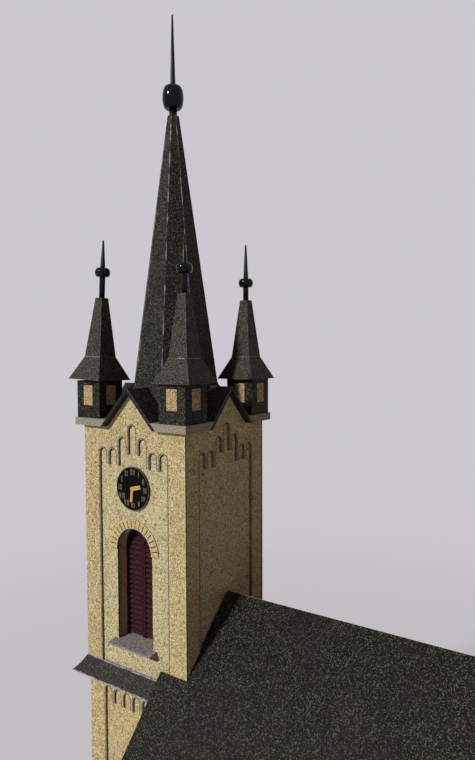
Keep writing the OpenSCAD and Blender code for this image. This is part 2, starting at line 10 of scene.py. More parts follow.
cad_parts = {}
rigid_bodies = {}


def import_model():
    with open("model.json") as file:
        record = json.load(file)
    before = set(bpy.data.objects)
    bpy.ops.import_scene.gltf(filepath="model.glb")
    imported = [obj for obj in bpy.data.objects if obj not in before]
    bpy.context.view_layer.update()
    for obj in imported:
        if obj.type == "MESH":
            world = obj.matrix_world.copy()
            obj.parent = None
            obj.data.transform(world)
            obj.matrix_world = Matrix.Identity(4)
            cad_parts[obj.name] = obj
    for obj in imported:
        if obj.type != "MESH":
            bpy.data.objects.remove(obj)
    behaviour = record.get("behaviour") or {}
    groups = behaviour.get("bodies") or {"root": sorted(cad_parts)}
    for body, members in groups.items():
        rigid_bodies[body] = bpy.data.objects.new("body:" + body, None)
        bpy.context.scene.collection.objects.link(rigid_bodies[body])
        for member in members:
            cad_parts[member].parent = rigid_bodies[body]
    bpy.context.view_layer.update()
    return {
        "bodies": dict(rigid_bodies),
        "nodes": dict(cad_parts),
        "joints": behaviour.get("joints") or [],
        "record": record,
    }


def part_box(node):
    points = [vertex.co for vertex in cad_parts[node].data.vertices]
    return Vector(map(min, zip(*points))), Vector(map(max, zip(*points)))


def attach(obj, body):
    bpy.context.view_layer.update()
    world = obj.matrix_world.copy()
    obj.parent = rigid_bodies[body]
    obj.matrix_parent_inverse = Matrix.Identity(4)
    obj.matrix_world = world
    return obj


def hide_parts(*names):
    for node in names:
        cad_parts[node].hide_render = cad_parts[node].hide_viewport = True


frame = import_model()
nodes = frame["nodes"]
mm = 0.001

# the main lines of the building, read from the frame
reliefLow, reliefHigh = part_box("tower_relief_south")
halfTower = (reliefHigh.x - reliefLow.x) / 2
axisX = (reliefHigh.x + reliefLow.x) / 2
fieldFace = -reliefHigh.y               # distance of the sunk fields from the tower's axis
stageLow = reliefLow.z
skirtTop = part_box("skirt_roof_south")[1].z
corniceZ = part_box("corner_cornices")[0].z
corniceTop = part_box("corner_cornices")[1].z
baseHalf = -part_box("base_wall_south")[0].y
roofLow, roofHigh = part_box("nave_roof_south")
ridgeZ = roofHigh.z
naveLow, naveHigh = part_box("nave_wall_south")
naveHalf = -naveLow.y
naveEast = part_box("nave_wall_east")[1].x
turns = {"south": 0, "east": 90, "north": 180, "west": 270}
clockSides = ("south", "north", "west")
reliefDepth = 0.6 * mm                  # the relief card's thickness
print("frame loaded:", len(nodes), "nodes")


# colours are written as 0 to 255 sRGB
def paint(red, green, blue):
    def channel(v):
        v /= 255
        return v / 12.92 if v < 0.04045 else ((v + 0.055) / 1.055) ** 2.4
    return (channel(red), channel(green), channel(blue), 1)


# ---- mesh helpers ----

def newPiece(name, bm, mats, smooth=False):
    bmesh.ops.recalc_face_normals(bm, faces=bm.faces)
    mesh = bpy.data.meshes.new(name)
    bm.to_mesh(mesh)
    bm.free()
    for mat in mats:
        mesh.materials.append(mat)
    for face in mesh.polygons:
        face.use_smooth = smooth
    piece = bpy.data.objects.new(name, mesh)
    bpy.context.scene.collection.objects.link(piece)
    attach(piece, "root")
    return piece


# place of one side of the tower: along it is X, outwards is -Y
def sidePlace(side):
    return Matrix.Translation((axisX, 0, 0)) @ Matrix.Rotation(math.radians(turns[side]), 4, "Z")


# solid between two distances from the side's axis; its outline is given along and up the face
def prism(bm, outline, near, far, place, mat=0):
    back = [bm.verts.new(place @ Vector((u, -near, v))) for u, v in outline]
    front = [bm.verts.new(place @ Vector((u, -far, v))) for u, v in outline]
    faces = [bm.faces.new(front), bm.faces.new(list(reversed(back)))]
    count = len(outline)
    for k in range(count):
        j = (k + 1) % count
        faces.append(bm.faces.new([front[j], front[k], back[k], back[j]]))
    for face in faces:
        face.material_index = mat


def box(bm, u0, u1, v0, v1, near, far, place, mat=0):
    prism(bm, [(u0, v0), (u1, v0), (u1, v1), (u0, v1)], near, far, place, mat)


# flat line of a given width along a path on a face
def line(bm, path, width, near, far, place, mat=0, slide=0.0):
    left, right = [], []
    for k, (u, v) in enumerate(path):
        a = Vector(path[max(k - 1, 0)])
        b = Vector(path[min(k + 1, len(path) - 1)])
        way = (b - a).normalized()
        across = Vector((-way.y, way.x))
        inner = Vector((u, v)) + across * (slide - width / 2)
        outer = Vector((u, v)) + across * (slide + width / 2)
        left.append(inner)
        right.append(outer)
    rings = []
    for a, b in zip(left, right):
        rings.append([bm.verts.new(place @ Vector((p.x, -d, p.y))) for p, d in
                      ((a, near), (a, far), (b, far), (b, near))])
    for first, second in zip(rings, rings[1:]):
        for k in range(4):
            j = (k + 1) % 4
            bm.faces.new([first[k], first[j], second[j], second[k]]).material_index = mat
    bm.faces.new(rings[0]).material_index = mat
    bm.faces.new(rings[-1]).material_index = mat


def arc(mid, height, radius, start, end, steps):
    points = []
    for k in range(steps + 1):
        turn = math.radians(start + (end - start) * k / steps)
        points.append((mid + radius * math.cos(turn), height + radius * math.sin(turn)))
    return points


def lathe(bm, profile, middle, steps=48, mat=0):
    rings = []
    for radius, height in profile:
        rings.append([bm.verts.new((middle[0] + radius * math.cos(2 * math.pi * k / steps),
                                    middle[1] + radius * math.sin(2 * math.pi * k / steps), height))
                      for k in range(steps)])
    for first, second in zip(rings, rings[1:]):
        for k in range(steps):
            j = (k + 1) % steps
            bm.faces.new([first[k], first[j], second[j], second[k]]).material_index = mat
    return rings


# worn line along a fold: a closed sliver whose width comes and goes
def wornFold(bm, start, end, sideA, sideB, width, share, rng, lift=0.02 * mm, mat=0):
    length = (end - start).length
    count = max(4, int(length / (0.9 * mm)))
    along = (end - start).normalized()
    across = []
    for normal, other in ((sideA, sideB), (sideB, sideA)):
        way = normal.cross(along)
        across.append(way if way.dot(other) < 0 else -way)
    out = (sideA + sideB).normalized()
    rows = []
    level = rng.random()
    for k in range(count + 1):
        level = 0.62 * level + 0.38 * rng.random()
        wide = width * max(0.0, min(1.0, (level - (1 - share)) * 4)) + 0.004 * mm
        spot = start.lerp(end, k / count)
        rows.append([bm.verts.new(spot + across[0] * wide + sideA * lift), bm.verts.new(spot + out * lift * 1.3),
                     bm.verts.new(spot + across[1] * wide + sideB * lift), bm.verts.new(spot - out * 0.08 * mm)])
    for first, second in zip(rows, rows[1:]):
        for k in range(4):
            j = (k + 1) % 4
            bm.faces.new([first[k], first[j], second[j], second[k]]).material_index = mat
    bm.faces.new(rows[0]).material_index = mat
    bm.faces.new(rows[-1]).material_index = mat


# ---- shader helpers ----

def put(tree, kind, inputs=None, **settings):
    node = tree.nodes.new(kind)
    for key, value in settings.items():
        setattr(node, key, value)
    for key, value in (inputs or {}).items():
        if isinstance(value, bpy.types.NodeSocket):
            tree.links.new(value, node.inputs[key])
        else:
            node.inputs[key].default_value = value
    return node


def mixed(tree, amount, first, second):
    return put(tree, "ShaderNodeMix", {0: amount, 6: first, 7: second}, data_type="RGBA").outputs[2]


def calc(tree, operation, first, second=0.0):
    return put(tree, "ShaderNodeMath", {0: first, 1: second}, operation=operation).outputs[0]


def ramped(tree, value, low, high, start=0.0, end=1.0):
    return put(tree, "ShaderNodeMapRange", {0: value, 1: low, 2: high, 3: start, 4: end},
               interpolation_type="SMOOTHSTEP").outputs[0]


# noise of about this grain size in metres; the shift gives another pattern of the same kind
def noise(tree, where, size, detail=2.0, rough=0.5, shift=0.0):
    return put(tree, "ShaderNodeTexNoise", {"Vector": where, "W": shift, "Scale": 1 / size, "Detail": detail,
                                            "Roughness": rough}, noise_dimensions="4D").outputs[0]


def newGroup(name, inputs, outputs):
    group = bpy.data.node_groups.new(name, "ShaderNodeTree")
    for label, kind, start in inputs:
        socket = group.interface.new_socket(label, in_out="INPUT", socket_type=kind)
        socket.default_value = start
    for label, kind in outputs:
        group.interface.new_socket(label, in_out="OUTPUT", socket_type=kind)
    return group, put(group, "NodeGroupInput").outputs, put(group, "NodeGroupOutput").inputs


def useGroup(tree, group, **inputs):
    return put(tree, "ShaderNodeGroup", inputs, node_tree=group).outputs


# Sandstone print: pale ink with brown and dark specks, light grains and rusty patches
def buildStonePrint():
    group, given, made = newGroup("stonePrint", [
        ("Pale", "NodeSocketColor", paint(206, 198, 150)), ("Brown", "NodeSocketColor", paint(140, 116, 66)),
        ("Rust", "NodeSocketColor", paint(196, 150, 92)), ("Blotch", "NodeSocketFloat", 0.4),
        ("Speck", "NodeSocketFloat", 0.8)],
        [("Color", "NodeSocketColor"), ("Grain", "NodeSocketFloat")])
    where = put(group, "ShaderNodeTexCoord").outputs["Object"]
    fine = noise(group, where, 0.4 * mm, 2.0, 0.75)
    blotches = noise(group, where, 2.6 * mm, 4.0, 0.7, 3)
    color = mixed(group, ramped(group, fine, 0.44, 0.66), given["Pale"], given["Brown"])
    rusty = calc(group, "MULTIPLY", ramped(group, blotches, 0.46, 0.68), given["Blotch"])
    color = mixed(group, rusty, color, given["Rust"])
    lemon = ramped(group, noise(group, where, 1.1 * mm, 2.0, 0.6, 11), 0.52, 0.66, 0.0, 0.45)
    color = mixed(group, lemon, color, paint(200, 192, 120))
    dark = ramped(group, noise(group, where, 0.46 * mm, 1.5, 0.6, 7), 0.565, 0.62)
    color = mixed(group, calc(group, "MULTIPLY", dark, given["Speck"]), color, paint(84, 68, 40))
    light = ramped(group, noise(group, where, 0.42 * mm, 1.0, 0.5, 5), 0.55, 0.64, 0.0, 0.6)
    color = mixed(group, light, color, paint(232, 226, 188))
    group.links.new(color, made["Color"])
    group.links.new(fine, made["Grain"])
    return group


# Slate print: black ink with a dense sandy grain, a few bright grains and soft clouds
def buildSlatePrint():
    group, given, made = newGroup("slatePrint", [
        ("Dark", "NodeSocketColor", paint(14, 14, 13)), ("Sand", "NodeSocketColor", paint(74, 73, 64)),
        ("Tint", "NodeSocketColor", paint(44, 34, 42)), ("Cover", "NodeSocketFloat", 0.5)],
        [("Color", "NodeSocketColor"), ("Grain", "NodeSocketFloat")])
    where = put(group, "ShaderNodeTexCoord").outputs["Object"]
    fine = noise(group, where, 0.26 * mm, 2.0, 0.8)
    level = calc(group, "ADD", fine, calc(group, "MULTIPLY", given["Cover"], 0.2))
    color = mixed(group, ramped(group, level, 0.53, 0.64), given["Dark"], given["Sand"])
    bright = ramped(group, noise(group, where, 0.3 * mm, 1.0, 0.5, 4), 0.56, 0.64, 0.0, 0.7)
    color = mixed(group, bright, color, paint(104, 106, 88))
    clouds = noise(group, where, 16 * mm, 3.0, 0.55, 9)
    color = mixed(group, ramped(group, clouds, 0.48, 0.7, 0.0, 0.45), color, given["Tint"])
    group.links.new(color, made["Color"])
    group.links.new(fine, made["Grain"])
    return group


# Mask of the faces whose direction against one axis lies between two limits: the cut edges of a card
def buildCutFace():
    group, given, made = newGroup("cutFace", [
        ("Across", "NodeSocketVector", (0, 1, 0)), ("Low", "NodeSocketFloat", -1.0),
        ("High", "NodeSocketFloat", 0.6)], [("Mask", "NodeSocketFloat")])
    normal = put(group, "ShaderNodeNewGeometry").outputs["True Normal"]
    dot = put(group, "ShaderNodeVectorMath", {0: normal, 1: given["Across"]}, operation="DOT_PRODUCT")
    facing = calc(group, "ABSOLUTE", dot.outputs["Value"])
    inside = calc(group, "MULTIPLY", calc(group, "GREATER_THAN", facing, given["Low"]),
                  calc(group, "LESS_THAN", facing, given["High"]))
    group.links.new(inside, made["Mask"])
    return group


# Handling marks: faint cloudy soiling and fine paper fibre
def buildHandling():
    group, given, made = newGroup("handling", [
        ("Color", "NodeSocketColor", paint(200, 200, 200)), ("Soil", "NodeSocketFloat", 0.2)],
        [("Color", "NodeSocketColor"), ("Fibre", "NodeSocketFloat")])
    where = put(group, "ShaderNodeTexCoord").outputs["Object"]
    soil = ramped(group, noise(group, where, 11 * mm, 4.0, 0.6, 21), 0.5, 0.75)
    color = mixed(group, calc(group, "MULTIPLY", soil, given["Soil"]), given["Color"], paint(112, 86, 58))
    group.links.new(color, made["Color"])
    group.links.new(noise(group, where, 0.25 * mm, 2.0, 0.6, 17), made["Fibre"])
    return group


stonePrint = buildStonePrint()
slatePrint = buildSlatePrint()
cutFace = buildCutFace()
handling = buildHandling()


def material(name, rough, specular, **sockets):
    mat = bpy.data.materials.new(name)
    mat.use_nodes = True
    tree = mat.node_tree
    shader = tree.nodes["Principled BSDF"]
    shader.inputs["Roughness"].default_value = rough
    shader.inputs["Specular IOR Level"].default_value = specular
    for key, value in sockets.items():
        shader.inputs[key.replace("_", " ")].default_value = value
    return mat, tree, shader


def bumped(tree, shader, height, strength, distance):
    bump = put(tree, "ShaderNodeBump", {"Height": height, "Strength": strength, "Distance": distance})
    tree.links.new(bump.outputs[0], shader.inputs["Normal"])


# the printed stone: its inks, how blotched it is, and the greys of its cut edge
stoneLook = {
    "pale": (196, 188, 146), "brown": (142, 120, 80), "rust": (172, 128, 78), "blotch": 0.3, "speck": 0.7,
    "core": (166, 154, 130), "coreDark": (104, 86, 62), "soil": 0.18}


def stoneMaterial(name, across, **changes):
    look = dict(stoneLook, **changes)
    mat, tree, shader = material(name, 0.9, 0.15)
    inks = useGroup(tree, stonePrint, Pale=paint(*look["pale"]), Brown=paint(*look["brown"]),
                    Rust=paint(*look["rust"]), Blotch=look["blotch"], Speck=look["speck"])
    cut = useGroup(tree, cutFace, Across=across)["Mask"]
    core = mixed(tree, ramped(tree, inks["Grain"], 0.4, 0.6), paint(*look["core"]), paint(*look["coreDark"]))
    marks = useGroup(tree, handling, Color=mixed(tree, cut, inks["Color"], core), Soil=look["soil"])
    tree.links.new(marks["Color"], shader.inputs["Base Color"])
    bumped(tree, shader, inks["Grain"], 0.4, 0.06 * mm)
    return mat


# the printed slate; the cut limits say which faces are bare card edges
slateLook = {
    "dark": (6, 6, 5), "sand": (50, 51, 42), "tint": (30, 22, 28), "cover": 0.3,
    "core": (70, 66, 66), "rough": 0.6, "specular": 0.12, "grain": 0.09 * mm}


def slateMaterial(name, across, low, high, **changes):
    look = dict(slateLook, **changes)
    mat, tree, shader = material(name, look["rough"], look["specular"])
    inks = useGroup(tree, slatePrint, Dark=paint(*look["dark"]), Sand=paint(*look["sand"]),
                    Tint=paint(*look["tint"]), Cover=look["cover"])
    cut = useGroup(tree, cutFace, Across=across, Low=low, High=high)["Mask"]
    core = mixed(tree, ramped(tree, inks["Grain"], 0.4, 0.62), paint(*look["core"]), paint(34, 30, 32))
    marks = useGroup(tree, handling, Color=mixed(tree, cut, inks["Color"], core), Soil=0.04)
    tree.links.new(marks["Color"], shader.inputs["Base Color"])
    tree.links.new(ramped(tree, inks["Grain"], 0.35, 0.65, look["rough"] + 0.1, look["rough"] - 0.1),
                   shader.inputs["Roughness"])
    bumped(tree, shader, inks["Grain"], 0.8, look["grain"])
    return mat


# plain card or ink in two shades, mottled at one grain size
def cardMaterial(name, ink, second, grain=0.5 * mm, rough=0.85, specular=0.2, soil=0.1, contrast=0.1):
    mat, tree, shader = material(name, rough, specular)
    where = put(tree, "ShaderNodeTexCoord").outputs["Object"]
    fine = noise(tree, where, grain, 3.0, 0.65)
    color = mixed(tree, ramped(tree, fine, 0.5 - contrast, 0.5 + contrast), paint(*ink), paint(*second))
    marks = useGroup(tree, handling, Color=color, Soil=soil)
    tree.links.new(marks["Color"], shader.inputs["Base Color"])
    bumped(tree, shader, marks["Fibre"], 0.4, 0.04 * mm)
    return mat


# black lacquer, glass or wood, with a slow change of gloss
def glossMaterial(name, ink, second, rough, coat, stretch=(1, 1, 1)):
    mat, tree, shader = material(name, rough, 0.2, Coat_Weight=coat, Coat_Roughness=0.04)
    where = put(tree, "ShaderNodeTexCoord").outputs["Object"]
    long = put(tree, "ShaderNodeMapping", {"Vector": where, "Scale": stretch}).outputs[0]
    soft = noise(tree, long, 0.9 * mm, 3.0)
    tree.links.new(mixed(tree, ramped(tree, soft, 0.4, 0.6), paint(*ink), paint(*second)),
                   shader.inputs["Base Color"])
    tree.links.new(ramped(tree, soft, 0.3, 0.7, rough * 0.7, rough * 1.4), shader.inputs["Roughness"])
    return mat


alongX = (1, 0, 0)
alongY = (0, 1, 0)
alongZ = (0, 0, 1)
rusty = {"pale": (198, 184, 136), "rust": (168, 126, 74), "blotch": 0.48, "brown": (132, 104, 62)}
brickInks = {"pale": (208, 200, 150), "brown": (164, 142, 92), "speck": 0.5, "blotch": 0.15}
ringInks = {"pale": (196, 184, 154), "brown": (148, 128, 98), "speck": 0.5}
stoneFieldY = stoneMaterial("stoneFieldY", alongY)
stoneFieldX = stoneMaterial("stoneFieldX", alongX)
stoneReliefY = stoneMaterial("stoneReliefY", alongY, **rusty)
stoneReliefX = stoneMaterial("stoneReliefX", alongX, **rusty)
revealStone = stoneMaterial("revealStone", alongZ, core=(190, 166, 134), coreDark=(150, 124, 92), speck=0.3)
brickStone = stoneMaterial("brickStone", alongZ, core=(208, 192, 140), coreDark=(176, 150, 96), **brickInks)
jointInk = cardMaterial("jointInk", (82, 60, 36), (58, 42, 26), 0.3 * mm)
paleLine = cardMaterial("paleLine", (176, 170, 158), (128, 118, 104), 0.7 * mm)
# dark ink for printed outlines, also used for the painted shade line at the relief's foot
inkAndShadeLine = cardMaterial("inkAndShadeLine", (70, 58, 44), (42, 34, 28), 0.8 * mm)
whiteCard = cardMaterial("whiteCard", (236, 234, 230), (206, 203, 198), 0.5 * mm, soil=0.0)
wornCard = cardMaterial("wornCard", (168, 160, 172), (112, 104, 116), 0.6 * mm)
wornDim = cardMaterial("wornDim", (108, 104, 104), (64, 60, 62), 0.6 * mm)
wornStone = cardMaterial("wornStone", (222, 214, 190), (180, 164, 130), 0.6 * mm)
greyCard = cardMaterial("greyCard", (158, 153, 138), (128, 122, 108), 0.5 * mm, soil=0.16)
sillCard = cardMaterial("sillCard", (168, 160, 156), (104, 98, 96), 0.45 * mm, contrast=0.14)
# the gables' cut verge edges take a near-black core: painted shade, for the shadow under the verges
slateGableY = slateMaterial("slateGableY", alongY, 0.9, 2, core=(40, 34, 38), tint=(52, 36, 46), sand=(60, 48, 54))
slateGableX = slateMaterial("slateGableX", alongX, 0.9, 2, core=(40, 34, 38), tint=(52, 36, 46), sand=(60, 48, 54))
slateNave = slateMaterial("slateNave", alongX, 0.9, 2, cover=0.04, rough=0.5, specular=0.12)
slateSkirt = slateMaterial("slateSkirt", alongZ, 0.97, 2, core=(150, 152, 138), cover=0.4, sand=(66, 64, 56))
slateTop = slateMaterial("slateTop", alongZ, 0.97, 2, core=(26, 24, 26), cover=0.2, sand=(56, 55, 50))
slateTurret = slateMaterial("slateTurret", alongZ, 0.97, 2, core=(26, 24, 26), cover=0.35, sand=(84, 82, 76))
slateBody = slateMaterial("slateBody", alongZ, 0.97, 2, core=(20, 20, 20), cover=0.1, sand=(52, 54, 42))
oxblood = cardMaterial("oxblood", (62, 30, 29), (38, 16, 18), 0.7 * mm, 0.7, 0.12, soil=0.0)
# near-black red for the board behind the blades: painted shade in the gaps between the blades
oxbloodPaintedShade = cardMaterial("oxbloodPaintedShade", (26, 13, 14), (16, 8, 10), 0.7 * mm, soil=0.0)
dialInk = cardMaterial("dialInk", (7, 6, 6), (13, 11, 10), 0.9 * mm, 0.7, 0.05, soil=0.0)
rimCard = cardMaterial("rimCard", (128, 120, 104), (70, 64, 54), 0.6 * mm)
goldCard = cardMaterial("goldCard", (212, 172, 84), (184, 142, 62), 0.4 * mm, 0.45, 0.5, soil=0.0)
numeralInk = cardMaterial("numeralInk", (150, 132, 96), (104, 88, 64), 0.4 * mm, 0.5, 0.3, soil=0.0)
windowPrint = cardMaterial("windowPrint", (206, 188, 142), (120, 94, 58), 0.42 * mm, contrast=0.14)
paneInk = cardMaterial("paneInk", (44, 50, 58), (24, 28, 34), 1.6 * mm, 0.35, 0.5, soil=0.0)
doorInk = cardMaterial("doorInk", (92, 50, 44), (62, 32, 30), 0.6 * mm, 0.7, 0.3)
ironInk = cardMaterial("ironInk", (12, 11, 12), (6, 6, 6), 0.5 * mm, 0.6, 0.1, soil=0.0)
blackWood = glossMaterial("blackWood", (10, 9, 9), (24, 21, 20), 0.4, 0.0, (1, 1, 0.12))
blackGlass = glossMaterial("blackGlass", (2, 2, 3), (5, 4, 6), 0.06, 0.0)
print("materials made")


def dress(mat, *names):
    for name in names:
        nodes[name].data.materials.clear()
        nodes[name].data.materials.append(mat)


dress(stoneFieldY, "tower_wall_south", "tower_wall_north")
dress(stoneFieldX, "tower_wall_east", "tower_wall_west")
dress(stoneReliefY, "tower_relief_south", "tower_relief_north", "base_wall_south", "base_wall_north",
      "nave_wall_south", "nave_wall_north")
dress(stoneReliefX, "tower_relief_east", "tower_relief_west", "base_wall_east", "base_wall_west",
      "nave_wall_east", "nave_walls_west")
dress(revealStone, "belfry_linings")
dress(greyCard, "corner_cornices", "tower_deck", "plinth_card", "nave_sills")
dress(sillCard, "belfry_sills")
dress(slateGableY, "gable_roof_south", "gable_roof_north")
dress(slateGableX, "gable_roof_east", "gable_roof_west")
dress(slateNave, "nave_roof_south", "nave_roof_north")
dress(slateSkirt, "skirt_roof_south", "skirt_roof_north", "skirt_roof_west")
dress(slateTop, "spire")
dress(slateTurret, "turret_roofs")
dress(slateBody, "turret_bodies")
dress(dialInk, "clock_dials")
dress(goldCard, "clock_hands")
dress(paneInk, "nave_panes")
dress(doorInk, "portal_doors")
print("frame dressed")


# ---- brick arches: a brown joint card with separate bricks on it, and a bare card rim ----

ringLook = {"bricks": 17, "joint": 0.3 * mm, "rim": 0.16 * mm, "below": 0.25 * mm}


def brickRing(bm, middle, spring, inner, outer, near, far, place, bricks):
    start = -math.degrees(ringLook["below"] / outer)
    path = arc(middle, spring, (inner + outer) / 2, start, 180 - start, 36)
    line(bm, path, outer - inner, near, far - 0.12 * mm, place, 1)
    step = (180 - 2 * start) / bricks
    gap = math.degrees(ringLook["joint"] / (inner + outer))
    for k in range(bricks):
        low, high = start + step * k + gap, start + step * (k + 1) - gap
        outline = arc(middle, spring, outer - ringLook["rim"], low, high, 2)
        outline += arc(middle, spring, inner + ringLook["rim"], high, low, 2)
        prism(bm, outline, near, far, place, 0)
    for radius in (inner + ringLook["rim"] / 2, outer - ringLook["rim"] / 2):
        line(bm, arc(middle, spring, radius, start, 180 - start, 40), ringLook["rim"], near,
             far - 0.02 * mm, place, 2)


archLow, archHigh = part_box("brick_arches")
ringOuter = archHigh.x - axisX
bellHalf = ringOuter - 2.5 * mm
bellSpring = archHigh.z - ringOuter
ringFar = -archLow.y
portal = {"half": 6 * mm, "spring": 19 * mm, "foot": 1.55 * mm}
bm = bmesh.new()
for side in clockSides:
    brickRing(bm, 0, bellSpring, bellHalf, ringOuter, fieldFace, ringFar, sidePlace(side), ringLook["bricks"])
brickRing(bm, 0, portal["spring"], portal["half"], portal["half"] + 2.5 * mm, baseHalf - reliefDepth,
          baseHalf - 0.2 * mm, sidePlace("west"), 17)
voussoirs = newPiece("voussoirs", bm, [brickStone, jointInk, wornStone])
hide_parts("brick_arches")

naveWindow = {"half": 3.2 * mm, "foot": 13 * mm, "spring": 32 * mm, "bays": 5, "strip": 5 * mm, "eastOff": 18 * mm,
              "eastLift": 9 * mm, "bricks": 11}


# places of the nave's windows: the wall's frame, the distance of its face, the middle and the lift
def naveWindows(look=naveWindow):
    found = []
    bay = (naveHigh.x - naveLow.x - look["strip"]) / look["bays"]
    for side in ("south", "north"):
        way = 1 if side == "south" else -1
        for k in range(look["bays"]):
            x = naveLow.x + look["strip"] + (bay - look["strip"]) / 2 + bay * k
            found.append((sidePlace(side), naveHalf, (x - axisX) * way, 0.0))
    for off, lift in ((-1, 0), (0, 1), (1, 0)):
        found.append((sidePlace("east"), naveEast - axisX, off * look["eastOff"], lift * look["eastLift"]))
    return found


bm = bmesh.new()
for place, face, middle, lift in naveWindows():
    brickRing(bm, middle, naveWindow["spring"] + lift, naveWindow["half"], naveWindow["half"] + 2.5 * mm,
              face - reliefDepth, face - 0.2 * mm, place, naveWindow["bricks"])
naveVoussoirs = newPiece("naveVoussoirs", bm, [brickStone, jointInk, wornStone])
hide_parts("nave_brick_arches")
print("brick arches laid")


# ---- belfry shutters: two leaves with stiles, an arched head and slanting blades ----

shutterLook = {"pitch": 1.45 * mm, "stile": 0.7 * mm, "blade": 0.3 * mm, "slant": 0.55 * mm, "depth": 0.7 * mm}


def makeShutters(bm, place, look):
    front = -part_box("belfry_louvres")[0].y
    back = front - 1.0 * mm
    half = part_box("belfry_louvres")[1].x - axisX
    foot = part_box("belfry_louvres")[0].z
    outline = [(half, foot)] + arc(0, bellSpring, half, 0, 180, 24) + [(-half, foot)]
    # the board behind the blades is painted near-black: painted shade between the blades
    prism(bm, outline, back, back + 0.25 * mm, place, 1)
    rail = half - look["stile"] / 2
    frame = [(rail, foot)] + arc(0, bellSpring, rail, 0, 180, 24) + [(-rail, foot)]
    line(bm, frame, look["stile"], back, front, place)
    for way in (-1, 1):
        top = bellSpring + half - look["stile"]
        box(bm, way * look["stile"] * 0.52 - look["stile"] * 0.46, way * look["stile"] * 0.52 + look["stile"] * 0.46,
            foot, top, back, front - 0.02 * mm, place)
    inner = half - look["stile"]
    count = int((bellSpring + inner - foot) / look["pitch"])
    for k in range(count):
        low = foot + look["pitch"] * (k + 0.25)
        high = low + look["pitch"] * 0.66
        reach = inner if high < bellSpring else math.sqrt(max(0.0, inner ** 2 - (high - bellSpring) ** 2))
        for way in (-1, 1):
            near, far = look["stile"] * 0.9 * way, reach * way
            if abs(far) - abs(near) < 0.4 * mm:
                continue
            section = [(front - 0.08 * mm, low), (front - 0.08 * mm, low + look["blade"]),
                       (front - look["slant"], high), (front - look["slant"], high - look["blade"])]
            rings = [[bm.verts.new(place @ Vector((u, -d, v))) for d, v in section] for u in (near, far)]
            bm.faces.new(rings[0])
            bm.faces.new(rings[1])
            for j in range(4):
                i = (j + 1) % 4
                bm.faces.new([rings[0][j], rings[0][i], rings[1][i], rings[1][j]])


bm = bmesh.new()
for side in clockSides:
    makeShutters(bm, sidePlace(side), shutterLook)
shutters = newPiece("shutters", bm, [oxblood, oxbloodPaintedShade])
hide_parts("belfry_louvres")
print("shutters hung")


# ---- clock: a bare card rim and twelve numerals on each dial ----

dialLook = {"rim": 0.16 * mm, "ring": 4.65 * mm, "tall": 1.55 * mm, "stroke": 0.17 * mm, "space": 0.46 * mm}
letters = {"I": (0.0, [((0, 0), (0, 1))]),
           "V": (0.5, [((0, 1), (0.25, 0)), ((0.25, 0), (0.5, 1))]),
           "X": (0.5, [((0, 0), (0.5, 1)), ((0.5, 0), (0, 1))])}
hours = ["XII", "I", "II", "III", "IV", "V", "VI", "VII", "VIII", "IX", "X", "XI"]


def makeDial(bm, place, look):
    low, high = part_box("clock_dials")
    face = -low.y
    radius = (high.z - low.z) / 2
    middle = (high.z + low.z) / 2
    line(bm, arc(0, middle, radius - look["rim"] / 2, 0, 360, 64), look["rim"], face - 0.1 * mm,
         face + 0.03 * mm, place, 1)
    for k, word in enumerate(hours):
        turn = math.radians(90 - 30 * k)
        spot = Vector((look["ring"] * math.cos(turn), middle + look["ring"] * math.sin(turn)))
        width = sum(letters[c][0] * look["tall"] * 0.7 + look["space"] for c in word) - look["space"]
        u = spot.x - width / 2
        for c in word:
            for a, b in letters[c][1]:
                path = [(u + p[0] * look["tall"] * 0.7, spot.y + (p[1] - 0.5) * look["tall"]) for p in (a, b)]
                line(bm, path, look["stroke"], face - 0.05 * mm, face + 0.03 * mm, place, 0)
            u += letters[c][0] * look["tall"] * 0.7 + look["space"]


bm = bmesh.new()
for side in clockSides:
    makeDial(bm, sidePlace(side), dialLook)
newPiece("dialMarks", bm, [numeralInk, rimCard])
print("dials marked")


# ---- relief lines: the bare edge of the relief card, a printed ink line beside it, and a painted shade line on the field at its foot ----

towerFrieze = {"half": 12.65 * mm, "leg": 1.1 * mm, "foot": 4.5 * mm, "low": stageLow,
               "tops": [corniceZ - 6.25 * mm + 3.5 * mm * max(0, 2 - abs(k - 3)) for k in range(7)]}
baseFrieze = dict(towerFrieze, half=12.2 * mm, low=6 * mm, tops=[skirtTop - 7.8 * mm] * 7)
bayFrieze = {"half": 10.5 * mm, "leg": 1.1 * mm, "foot": 4.5 * mm, "low": 6 * mm, "tops": [50.136 * mm] * 6}
eastFrieze = {"half": 36.9 * mm, "leg": 1.1 * mm, "foot": 4.5 * mm, "low": 6 * mm,
              "tops": [49.136 * mm + 0.96 * 4.92 * mm * (7 - abs(k - 7)) for k in range(15)]}
lineLook = {"pale": 0.2 * mm, "dark": 0.5 * mm, "ink": 0.15 * mm, "proud": 0.02 * mm}


# outline of a sunk field: up one side, over every arch and hanging foot, and down the other
def fieldOutline(look, middle=0.0):
    count = len(look["tops"])
    pitch = (2 * look["half"] + look["leg"]) / count
    opened = pitch - look["leg"]
    path = [(middle - look["half"], look["low"])]
    for k, top in enumerate(look["tops"]):
        left = middle - look["half"] + pitch * k
        path += arc(left + opened / 2, top - opened / 2, opened / 2, 180, 0, 10)
        if k + 1 < count:
            foot = min(top, look["tops"][k + 1]) - look["foot"]
            path += [(left + opened, foot), (left + pitch, foot)]
    path.append((middle + look["half"], look["low"]))
    return path


def reliefLines(bm, frieze, face, place, middle=0.0):
    path = fieldOutline(frieze, middle)
    line(bm, path, lineLook["pale"], face - 0.05 * mm, face + lineLook["proud"], place, 0, lineLook["pale"] * 0.4)
    line(bm, path, lineLook["ink"], face - 0.05 * mm, face + lineLook["proud"], place, 1, lineLook["pale"] * 1.3)
    field = face - reliefDepth
    # dark band on the sunk field along the relief's foot: painted shade of the relief's edge
    line(bm, path, lineLook["dark"], field - 0.05 * mm, field + lineLook["proud"], place, 1)


